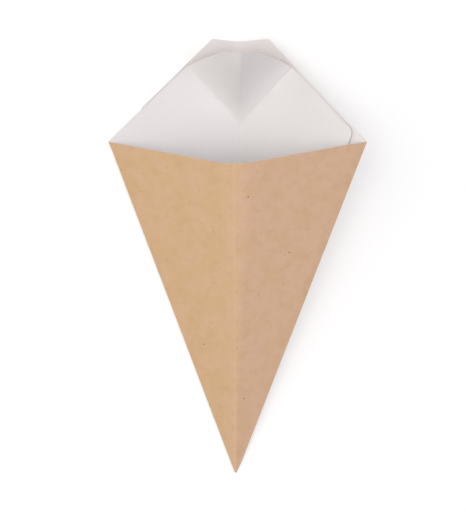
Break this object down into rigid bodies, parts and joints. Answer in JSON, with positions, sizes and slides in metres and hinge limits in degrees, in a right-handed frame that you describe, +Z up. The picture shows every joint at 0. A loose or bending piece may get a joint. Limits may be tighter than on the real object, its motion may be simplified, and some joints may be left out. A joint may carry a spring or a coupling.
{
  "type": "paper fry cone",
  "caption": "Cone-shaped fry holder folded from one sheet of kraft card, white inside, squeezed open at the mouth, with a dip pocket pushed out of its back panel.",
  "frame": {"origin": "centre of the bounding box, on the surface under the left back facet that the cone lies on", "axes": "+Y along the cone from tip to mouth, +Z up from the surface it lies on, +X towards the raised right fold"},
  "size_m": [0.1162, 0.232, 0.067],
  "materials": {
    "kraft_card": "matte uncoated kraft outside, white smooth lining inside"
  },
  "bodies": {
    "root": {"fry_cone": "kraft_card"}
  },
  "joints": []
}
